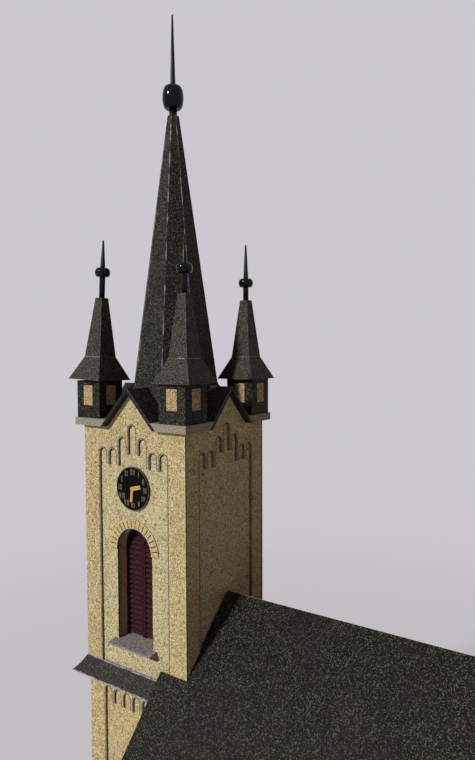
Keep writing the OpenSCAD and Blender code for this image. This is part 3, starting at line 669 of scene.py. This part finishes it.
bm = bmesh.new()
for side in turns:
    reliefLines(bm, towerFrieze, halfTower, sidePlace(side))
for side in clockSides:
    reliefLines(bm, baseFrieze, baseHalf, sidePlace(side))
for place, face, middle, lift in naveWindows()[:2 * naveWindow["bays"]]:
    reliefLines(bm, bayFrieze, face, place, middle)
reliefLines(bm, eastFrieze, naveEast - axisX, sidePlace("east"))
for side in clockSides:          # ink line round the belfry openings, and the cut edge inside it
    jamb = bellHalf - 0.02 * mm
    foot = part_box("belfry_sills")[1].z
    path = [(jamb, foot)] + arc(0, bellSpring, jamb, 0, 180, 32) + [(-jamb, foot)]
    line(bm, path, 0.16 * mm, fieldFace - 0.3 * mm, fieldFace + 0.02 * mm, sidePlace(side), 1)
newPiece("reliefLines", bm, [paleLine, inkAndShadeLine])
print("relief lines drawn")


# ---- turret windows: a printed patch with a dark frame on each face of each turret ----

turretLook = {"body": 4.5 * mm, "eaves": 6.2 * mm, "knee": 3.1 * mm, "peak": 1.25 * mm, "flare": 6.55 * mm,
              "windowHalf": 1.8 * mm, "windowFoot": 3.6 * mm, "windowTall": 5.7 * mm, "steep": 17.0 * mm,
              "rods": (16.6, 13.8, 16.7, 16.2), "beads": (7.3, 6.5, 5.2, 6.4), "turnX": (-1.3, 0, 0, 0),
              "turnY": (1.9, 0, 0, 0), "shiftX": (0, 0.6, -0.4, 0), "shiftY": (0, 0.4, -0.3, 0)}
bodyLow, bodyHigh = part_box("turret_bodies")
turretOff = (bodyHigh.x - bodyLow.x) / 2 - turretLook["body"]
eavesZ = bodyHigh.z
kneeZ = eavesZ + turretLook["flare"]
peakZ = kneeZ + turretLook["steep"]
turretSpots = [Vector((axisX + turretOff * i, turretOff * j, 0)) for i, j in ((-1, -1), (1, -1), (1, 1), (-1, 1))]


# place of one turret's roof, against an upright roof on the turret's axis
def roofPlace(k, look=turretLook):
    turnX, turnY = (math.radians(look[key][k]) for key in ("turnX", "turnY"))
    lift = look["body"] * (abs(math.sin(turnX)) + abs(math.sin(turnY)))
    shift = Vector((look["shiftX"][k] * mm, look["shiftY"][k] * mm, lift))
    middle = turretSpots[k] + Vector((0, 0, eavesZ))
    lean = Matrix.Rotation(turnY, 4, "Y") @ Matrix.Rotation(turnX, 4, "X")
    return Matrix.Translation(middle + shift) @ lean @ Matrix.Translation(-middle)


bm = bmesh.new()
for spot in turretSpots:
    for turn in range(4):
        place = Matrix.Translation(spot) @ Matrix.Rotation(math.radians(90 * turn), 4, "Z")
        half, foot = turretLook["windowHalf"], corniceTop + turretLook["windowFoot"]
        top = foot + turretLook["windowTall"]
        face = turretLook["body"]
        box(bm, -half - 0.25 * mm, half + 0.25 * mm, foot - 0.25 * mm, top + 0.25 * mm,
            face - 0.05 * mm, face + 0.02 * mm, place, 1)
        box(bm, -half, half, foot, top, face - 0.05 * mm, face + 0.05 * mm, place, 0)
newPiece("turretWindows", bm, [windowPrint, ironInk])
print("turret windows printed")


# ---- worn folds and edges of the black card ----

wearLook = {"spire": 0.2 * mm, "turret": 0.2 * mm, "verge": 0.3 * mm, "corner": 0.2 * mm, "ridge": 0.42 * mm,
            "skirt": 0.3 * mm}
rng = random.Random(7)
bm = bmesh.new()
spireLow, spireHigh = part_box("spire")
flat = (spireHigh.x - spireLow.x) / 2
topFlat = 1.626 * mm
lean = math.atan2(flat - topFlat, spireHigh.z - spireLow.z)


def facing(turn, tilt):
    turn = math.radians(turn)
    return Vector((math.cos(turn) * math.cos(tilt), math.sin(turn) * math.cos(tilt), math.sin(tilt)))


for k in range(8):
    turn = 22.5 + 45 * k
    way = Vector((math.cos(math.radians(turn)), math.sin(math.radians(turn)), 0)) / math.cos(math.radians(22.5))
    foot = Vector((axisX, 0, spireLow.z + 6 * mm)) + way * (flat - 6 * mm * math.tan(lean))
    top = Vector((axisX, 0, spireHigh.z)) + way * topFlat
    wornFold(bm, foot, top, facing(turn - 22.5, lean), facing(turn + 22.5, lean), wearLook["spire"], 0.58, rng)
for number, spot in enumerate(turretSpots):
    before = len(bm.verts)
    tilts = [math.atan2(turretLook["eaves"] - turretLook["knee"], turretLook["flare"]),
             math.atan2(turretLook["knee"] - turretLook["peak"], peakZ - kneeZ)]
    for turn in range(0, 360, 90):
        corner = Vector((math.cos(math.radians(turn + 45)), math.sin(math.radians(turn + 45)), 0)) * math.sqrt(2)
        after = Vector((-corner.y, corner.x, 0))
        levels = [(eavesZ, turretLook["eaves"]), (kneeZ, turretLook["knee"]), (peakZ, turretLook["peak"])]
        places = [spot + corner * half + Vector((0, 0, z)) for z, half in levels]
        for k in range(2):
            wornFold(bm, places[k], places[k + 1], facing(turn, tilts[k]), facing(turn + 90, tilts[k]),
                     wearLook["turret"], 0.55, rng, mat=1)
        nextKnee = spot + after * turretLook["knee"] + Vector((0, 0, kneeZ))
        nextEaves = spot + after * turretLook["eaves"] + Vector((0, 0, eavesZ))
        wornFold(bm, places[1], nextKnee, facing(turn + 90, tilts[0]), facing(turn + 90, tilts[1]),
                 wearLook["turret"], 0.6, rng)
        wornFold(bm, places[0], nextEaves, facing(turn + 90, tilts[0]), Vector((0, 0, -1)),
                 wearLook["turret"] * 0.7, 0.6, rng, mat=1)
    bm.verts.ensure_lookup_table()
    bmesh.ops.transform(bm, matrix=roofPlace(number), verts=bm.verts[before:])
gableHalf, gableTop = 10.2 * mm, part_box("gable_roof_south")[1].z
gableFront = -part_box("gable_roof_south")[0].y
gablePitch = math.atan2(gableHalf, gableTop - corniceZ)
for side in turns:
    place = sidePlace(side)
    for way in (-1, 1):
        low = place @ Vector((way * gableHalf, -gableFront + 0.02 * mm, corniceZ))
        peak = place @ Vector((0, -gableFront + 0.02 * mm, gableTop - 0.01 * mm))
        slope = place.to_3x3() @ Vector((way * math.cos(gablePitch), 0, math.sin(gablePitch)))
        front = place.to_3x3() @ Vector((0, -1, 0))
        wornFold(bm, low, peak, slope, front, wearLook["verge"], 0.7, rng)
    inner = place @ Vector((0, -flat * 0.62, gableTop))
    outer = place @ Vector((0, -gableFront, gableTop))
    left = place.to_3x3() @ Vector((-math.cos(gablePitch), 0, math.sin(gablePitch)))
    right = place.to_3x3() @ Vector((math.cos(gablePitch), 0, math.sin(gablePitch)))
    wornFold(bm, inner, outer, left, right, wearLook["verge"] * 0.8, 0.6, rng)
skirtOut = 3.3 * mm
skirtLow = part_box("skirt_roof_south")[0].z
west, east = axisX - halfTower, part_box("skirt_roof_south")[1].x
for side in clockSides:                  # bare edges of the skirt roof, at the wall and at its foot
    place = sidePlace(side)
    turnOf = place.to_3x3()
    right = halfTower if side == "west" else (east - axisX if side == "south" else halfTower)
    left = -halfTower if side != "north" else -(east - axisX)
    slope = turnOf @ Vector((0, -0.8, 0.6))
    wornFold(bm, place @ Vector((left, -halfTower - 0.06 * mm, skirtTop)),
             place @ Vector((right, -halfTower - 0.06 * mm, skirtTop)), slope, Vector((0, 0, 1)),
             wearLook["skirt"], 0.8, rng)
    out = skirtOut + halfTower
    wornFold(bm, place @ Vector((left * 1.17 if left == -halfTower else left, -out + 0.03 * mm, skirtLow + 0.02 * mm)),
             place @ Vector((right * 1.17 if right == halfTower else right, -out + 0.03 * mm, skirtLow + 0.02 * mm)),
             slope, Vector((0, 0, -1)), wearLook["skirt"], 0.8, rng)
newPiece("wornFolds", bm, [wornCard, wornDim])

bm = bmesh.new()
for k, side in enumerate(turns):         # corners of the tower and of the turret bodies
    place = sidePlace(side)
    turnOf = place.to_3x3()
    for half, low, high in ((halfTower, stageLow, corniceZ), (baseHalf, 0.4 * mm, stageLow)):
        foot, top = (place @ Vector((half, -half, z)) for z in (low, high))
        wornFold(bm, foot, top, turnOf @ Vector((1, 0, 0)), turnOf @ Vector((0, -1, 0)), wearLook["corner"], 0.72, rng)
newPiece("wornCorners", bm, [wornStone])
bm = bmesh.new()
for spot in turretSpots:
    for turn in range(0, 360, 90):
        corner = Vector((math.cos(math.radians(turn + 45)), math.sin(math.radians(turn + 45)), 0)) * math.sqrt(2)
        foot, top = (spot + corner * turretLook["body"] + Vector((0, 0, z)) for z in (corniceTop, eavesZ))
        wornFold(bm, foot, top, facing(turn, 0), facing(turn + 90, 0), 0.12 * mm, 0.45, rng)
newPiece("turretCorners", bm, [wornDim])
print("folds worn")


# ---- nave roof: worn ridge and overlapping seams in the card ----

slopeAngle = math.atan2(ridgeZ - roofLow.z, -roofLow.y)
seamLook = {"places": (19.7, 23.8, 36.9, 53.5, 71.0, 94.5, 117.0), "wide": 0.16 * mm, "proud": 0.03 * mm}
bm = bmesh.new()
ridgeStart = axisX + halfTower + 0.2 * mm
for way in (-1, 1):
    normal = Vector((0, way * math.sin(slopeAngle), math.cos(slopeAngle)))
    down = Vector((0, way * math.cos(slopeAngle), -math.sin(slopeAngle)))
    for k, off in enumerate(seamLook["places"]):
        x = roofLow.x + off * mm + (0 if way < 0 else 2.4 * mm)
        if x > roofHigh.x - 2 * mm:
            continue
        start = Vector((x, 0, ridgeZ)) + down * 0.3 * mm
        end = start + down * (-roofLow.y / math.cos(slopeAngle) - 1.2 * mm) + Vector((rng.uniform(-0.6, 0.6) * mm, 0, 0))
        along = (end - start).normalized()
        across = normal.cross(along) * seamLook["wide"] / 2
        lift = normal * seamLook["proud"]
        sink = normal * 0.05 * mm
        rings = [[bm.verts.new(p + q) for q in (-across - sink, -across + lift, across + lift * 0.3, across - sink)]
                 for p in (start, end)]
        bm.faces.new(rings[0])
        bm.faces.new(rings[1])
        for j in range(4):
            i = (j + 1) % 4
            bm.faces.new([rings[0][j], rings[0][i], rings[1][i], rings[1][j]])
seams = newPiece("roofSeams", bm, [ironInk])
bm = bmesh.new()
south = Vector((0, -math.sin(slopeAngle), math.cos(slopeAngle)))
north = Vector((0, math.sin(slopeAngle), math.cos(slopeAngle)))
wornFold(bm, Vector((ridgeStart, 0, ridgeZ - 0.01 * mm)), Vector((roofHigh.x - 0.1 * mm, 0, ridgeZ - 0.01 * mm)),
         south, north, wearLook["ridge"], 0.75, rng)
newPiece("wornRidge", bm, [wornStone])
print("nave roof finished")


# ---- beads and rods, turned smooth ----

beadLook = {"rodFoot": 0.85 * mm, "rodTip": 0.25 * mm, "smallRadius": 2.2 * mm, "smallTall": 2.6 * mm,
            "bigRadius": 3.1 * mm, "spireRod": 0.8 * mm, "collar": 1.15 * mm, "flat": 0.62}


def beadProfile(radius, tall, hole, middle, look=beadLook):
    rim = radius * look["flat"]
    points = [(hole, middle - tall / 2 + 0.12 * mm), (hole + 0.12 * mm, middle - tall / 2)]
    for k in range(17):
        turn = math.radians(-90 + 180 * k / 16)
        points.append((rim + (radius - rim) * math.cos(turn), middle + tall / 2 * math.sin(turn)))
    points += [(hole + 0.12 * mm, middle + tall / 2), (hole, middle + tall / 2 - 0.12 * mm)]
    return points + [points[0]]


def rodProfile(radius, tip, foot, bend, top):
    return [(0, foot), (radius, foot), (radius, bend), (radius * 0.8 + tip * 0.2, bend + (top - bend) * 0.2),
            (tip, top - 0.2 * mm), (tip * 0.5, top), (0, top)]




# turns one profile for every turret and sets it with the turret's roof
def onTurrets(bm, makeProfile, steps):
    for k, spot in enumerate(turretSpots):
        before = len(bm.verts)
        lathe(bm, makeProfile(k), spot, steps)
        bm.verts.ensure_lookup_table()
        bmesh.ops.transform(bm, matrix=roofPlace(k), verts=bm.verts[before:])


def smallBead(k):
    return beadProfile(beadLook["smallRadius"], beadLook["smallTall"], beadLook["rodFoot"],
                       peakZ + turretLook["beads"][k] * mm)


def smallRod(k):
    return rodProfile(beadLook["rodFoot"] - 0.03 * mm, beadLook["rodTip"], peakZ - 0.5 * mm,
                      peakZ + turretLook["beads"][k] * mm, peakZ + turretLook["rods"][k] * mm)


bm = bmesh.new()
onTurrets(bm, smallBead, 48)
bigLow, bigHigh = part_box("spire_bead")
lathe(bm, beadProfile(beadLook["bigRadius"], bigHigh.z - bigLow.z, beadLook["spireRod"], (bigLow.z + bigHigh.z) / 2),
      (axisX, 0), 64)
beads = newPiece("glassBeads", bm, [blackGlass], True)
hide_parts("turret_beads", "spire_bead")
bm = bmesh.new()
onTurrets(bm, smallRod, 24)
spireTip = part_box("spire_rod")[1].z
lathe(bm, [(0, spireHigh.z - 0.5 * mm), (beadLook["collar"] * 1.25, spireHigh.z - 0.1 * mm),
           (beadLook["collar"], spireHigh.z + 0.5 * mm), (beadLook["collar"], bigLow.z), (0, bigLow.z)],
      (axisX, 0), 32)
lathe(bm, rodProfile(beadLook["spireRod"] - 0.03 * mm, beadLook["rodTip"], spireHigh.z - 0.4 * mm, bigHigh.z, spireTip),
      (axisX, 0), 24)
bmesh.ops.remove_doubles(bm, verts=bm.verts, dist=0.002 * mm)
rods = newPiece("turnedRods", bm, [blackWood], True)
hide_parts("turret_rods", "spire_rod")
print("beads and rods turned")


# ---- portal doors and nave windows, unseen from the front ----

doorLook = {"board": 1.35 * mm, "gap": 0.12 * mm, "straps": (5.0, 11.5, 17.5), "strap": 0.45 * mm}
bm = bmesh.new()
place = sidePlace("west")
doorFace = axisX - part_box("portal_doors")[0].x
reach = portal["half"] - 0.1 * mm
for way in (-1, 1):
    count = 4
    wide = (reach - 0.2 * mm) / count
    for k in range(count):
        a, b = 0.2 * mm + wide * k, 0.2 * mm + wide * (k + 1) - doorLook["gap"]
        tops = [portal["spring"] + math.sqrt(reach ** 2 - min(u, reach) ** 2) for u in (a, (a + b) / 2, b)]
        outline = [(way * a, portal["foot"] + 0.2 * mm), (way * b, portal["foot"] + 0.2 * mm), (way * b, tops[2]),
                   (way * (a + b) / 2, tops[1]), (way * a, tops[0])]
        prism(bm, outline, doorFace - 0.1 * mm, doorFace + 0.15 * mm, place)
    for height in doorLook["straps"]:
        v = portal["foot"] + height * mm
        outline = [(way * reach, v - doorLook["strap"] / 2), (way * reach, v + doorLook["strap"] / 2),
                   (way * reach * 0.4, v + doorLook["strap"] * 0.3), (way * reach * 0.28, v),
                   (way * reach * 0.4, v - doorLook["strap"] * 0.3)]
        prism(bm, outline, doorFace, doorFace + 0.3 * mm, place, 1)
ringPath = arc(0.8 * mm, portal["foot"] + 9.5 * mm, 0.5 * mm, 0, 360, 20)
line(bm, ringPath, 0.16 * mm, doorFace + 0.1 * mm, doorFace + 0.35 * mm, place, 1)
newPiece("doorBoards", bm, [doorInk, ironInk])

barLook = {"wide": 0.28 * mm, "rows": 4, "proud": 0.15 * mm, "pane": 1.5 * mm}
bm = bmesh.new()
for place, face, middle, lift in naveWindows():
    pane = face - barLook["pane"]
    half, foot, spring = naveWindow["half"], naveWindow["foot"] + lift, naveWindow["spring"] + lift
    wide = barLook["wide"]
    box(bm, middle - wide / 2, middle + wide / 2, foot + 1.4 * mm, spring + half - 0.1 * mm, pane - 0.05 * mm,
        pane + barLook["proud"], place)
    for k in range(barLook["rows"]):
        v = foot + 1.5 * mm + (spring - foot - 1.5 * mm) * (k + 1) / barLook["rows"]
        box(bm, middle - half + 0.06 * mm, middle + half - 0.06 * mm, v - wide / 2, v + wide / 2, pane - 0.05 * mm,
            pane + barLook["proud"] * 0.8, place)
    rim = half - wide / 2 - 0.06 * mm
    path = [(middle + rim, foot + 1.5 * mm)] + arc(middle, spring, rim, 0, 180, 16) + [(middle - rim, foot + 1.5 * mm)]
    line(bm, path, wide, pane - 0.05 * mm, pane + barLook["proud"], place)
newPiece("glazingBars", bm, [paleLine])
print("doors and windows fitted")


# ---- white paper chips, where glue has pulled the print off ----

def chip(bm, spot, normal, along, long, wide, rng):
    across = normal.cross(along)
    ring = []
    for k in range(7):
        turn = 2 * math.pi * k / 7
        reach = rng.uniform(0.6, 1.0)
        ring.append(spot + along * long * reach * math.cos(turn) + across * wide * reach * math.sin(turn))
    top = [bm.verts.new(p + normal * 0.06 * mm) for p in ring]
    low = [bm.verts.new(p - normal * 0.06 * mm) for p in ring]
    bm.faces.new(top)
    bm.faces.new(list(reversed(low)))
    for k in range(7):
        j = (k + 1) % 7
        bm.faces.new([top[k], top[j], low[j], low[k]])


chipLook = {"count": 3, "nave": 0.42 * mm}
rng = random.Random(19)
bm = bmesh.new()
vergeWest = roofLow.x
slopeDown = Vector((0, -math.cos(slopeAngle), -math.sin(slopeAngle)))
for off, size in ((0.4, 0.42), (1.1, 0.3), (1.5, 0.2)):
    spot = Vector((axisX + halfTower + 0.3 * mm, -halfTower - 0.4 * mm - off * mm * 0.4, 0))
    spot.z = ridgeZ + spot.y * math.tan(slopeAngle)
    chip(bm, spot, south, slopeDown, size * mm, size * mm * 0.5, rng)
spot = Vector((vergeWest + 1.1 * mm, -30.4 * mm, 0))
spot.z = ridgeZ + spot.y * math.tan(slopeAngle)
chip(bm, spot, Vector((-1, 0, 0)), slopeDown, 0.9 * mm, 0.28 * mm, rng)
for number, spot in enumerate(turretSpots):
    half = turretLook["peak"]
    before = len(bm.verts)
    chip(bm, spot + Vector((half * 0.9, -half * 0.9, peakZ - 0.25 * mm)), facing(-45, 0.2), Vector((0, 0, 1)),
         0.3 * mm, 0.22 * mm, rng)
    bm.verts.ensure_lookup_table()
    bmesh.ops.transform(bm, matrix=roofPlace(number), verts=bm.verts[before:])
newPiece("paperChips", bm, [whiteCard])
print("chips placed")


# ---- stage, light and camera ----

stageLook = {"floor": (232, 231, 235), "back": (203, 201, 206), "radius": 3.0, "near": 0.7, "clear": (0.2, 0.5)}


# a wide round floor, which pales into the background away from the model
def makeStage(look):
    bm = bmesh.new()
    rings = [[bm.verts.new((r * math.cos(2 * math.pi * k / 96), r * math.sin(2 * math.pi * k / 96), 0))
              for k in range(96)] for r in (0.4, look["radius"])]
    bm.faces.new(rings[0])
    for k in range(96):
        j = (k + 1) % 96
        bm.faces.new([rings[0][k], rings[1][k], rings[1][j], rings[0][j]])
    mesh = bpy.data.meshes.new("floor")
    bm.to_mesh(mesh)
    bm.free()
    mat, tree, shader = material("paleFloor", 0.9, 0.1)
    where = put(tree, "ShaderNodeTexCoord").outputs["Object"]
    color = mixed(tree, noise(tree, where, 0.3), paint(*look["floor"]), paint(224, 222, 228))
    tree.links.new(color, shader.inputs["Base Color"])
    away = put(tree, "ShaderNodeVectorMath", {0: where}, operation="LENGTH").outputs["Value"]
    ray = put(tree, "ShaderNodeLightPath").outputs
    seen = calc(tree, "MAXIMUM", calc(tree, "MAXIMUM", ray["Is Camera Ray"], ray["Is Glossy Ray"]),
                ray["Is Transmission Ray"])
    share = calc(tree, "MULTIPLY", seen, ramped(tree, away, *look["clear"], look["near"], 1.0))
    glow = put(tree, "ShaderNodeEmission", {"Color": paint(*look["back"]), "Strength": 1.0})
    blend = put(tree, "ShaderNodeMixShader", {0: share, 1: shader.outputs[0], 2: glow.outputs[0]})
    tree.links.new(blend.outputs[0], tree.nodes["Material Output"].inputs["Surface"])
    mesh.materials.append(mat)
    floor = bpy.data.objects.new("floor", mesh)
    bpy.context.scene.collection.objects.link(floor)


# place of the camera in tower widths from the tower's axis, at the skirt roof's top
viewLook = {"right": 3.1952, "front": 3.7923, "up": 2.4101, "yaw": 34.401, "down": 2.94, "roll": -0.197,
            "lensShare": 0.81793}


def makeCamera(look):
    data = bpy.data.cameras.new("camera")
    data.sensor_width = 36
    data.lens = look["lensShare"] * data.sensor_width
    data.clip_start = 0.01
    data.clip_end = 20
    camera = bpy.data.objects.new("camera", data)
    width = 2 * halfTower
    yaw, down, roll = (math.radians(look[key]) for key in ("yaw", "down", "roll"))
    ahead = Vector((-math.sin(yaw) * math.cos(down), math.cos(yaw) * math.cos(down), -math.sin(down)))
    level = Vector((math.cos(yaw), math.sin(yaw), 0))
    above = level.cross(ahead)
    right = math.cos(roll) * level + math.sin(roll) * above
    up = -math.sin(roll) * level + math.cos(roll) * above
    spot = Vector((axisX + look["right"] * width, -look["front"] * width, skirtTop + look["up"] * width))
    camera.matrix_world = Matrix.Translation(spot) @ Matrix((right, up, -ahead)).transposed().to_4x4()
    bpy.context.scene.collection.objects.link(camera)
    bpy.context.scene.camera = camera


lightLook = {"key": 2.75, "keyTravel": (0.29, 0.96), "keyDown": 27, "keySoft": 7,
             "world": 0.13, "worldTint": (1.0, 0.74, 0.72, 1), "sky": (203, 201, 206)}


def makeLights(look):
    sun = bpy.data.lights.new("keyLight", "SUN")
    sun.energy = look["key"]
    sun.angle = math.radians(look["keySoft"])
    travel = Vector((*look["keyTravel"], 0)).normalized() * math.cos(math.radians(look["keyDown"]))
    travel.z = -math.sin(math.radians(look["keyDown"]))
    key = bpy.data.objects.new("keyLight", sun)
    key.rotation_euler = travel.to_track_quat("-Z", "Y").to_euler()
    bpy.context.scene.collection.objects.link(key)
    world = bpy.data.worlds.new("studio")
    bpy.context.scene.world = world
    world.use_nodes = True
    tree = world.node_tree
    ray = put(tree, "ShaderNodeLightPath").outputs
    seen = calc(tree, "MAXIMUM", calc(tree, "MAXIMUM", ray["Is Camera Ray"], ray["Is Glossy Ray"]),
                ray["Is Transmission Ray"])
    back = tree.nodes["Background"]
    tree.links.new(mixed(tree, seen, look["worldTint"], paint(*look["sky"])), back.inputs["Color"])
    tree.links.new(ramped(tree, seen, 0, 1, look["world"], 1.0), back.inputs["Strength"])


makeCamera(viewLook)
makeStage(stageLook)
makeLights(lightLook)
bpy.context.scene.view_settings.view_transform = "Standard"
print("stage, light and camera set")
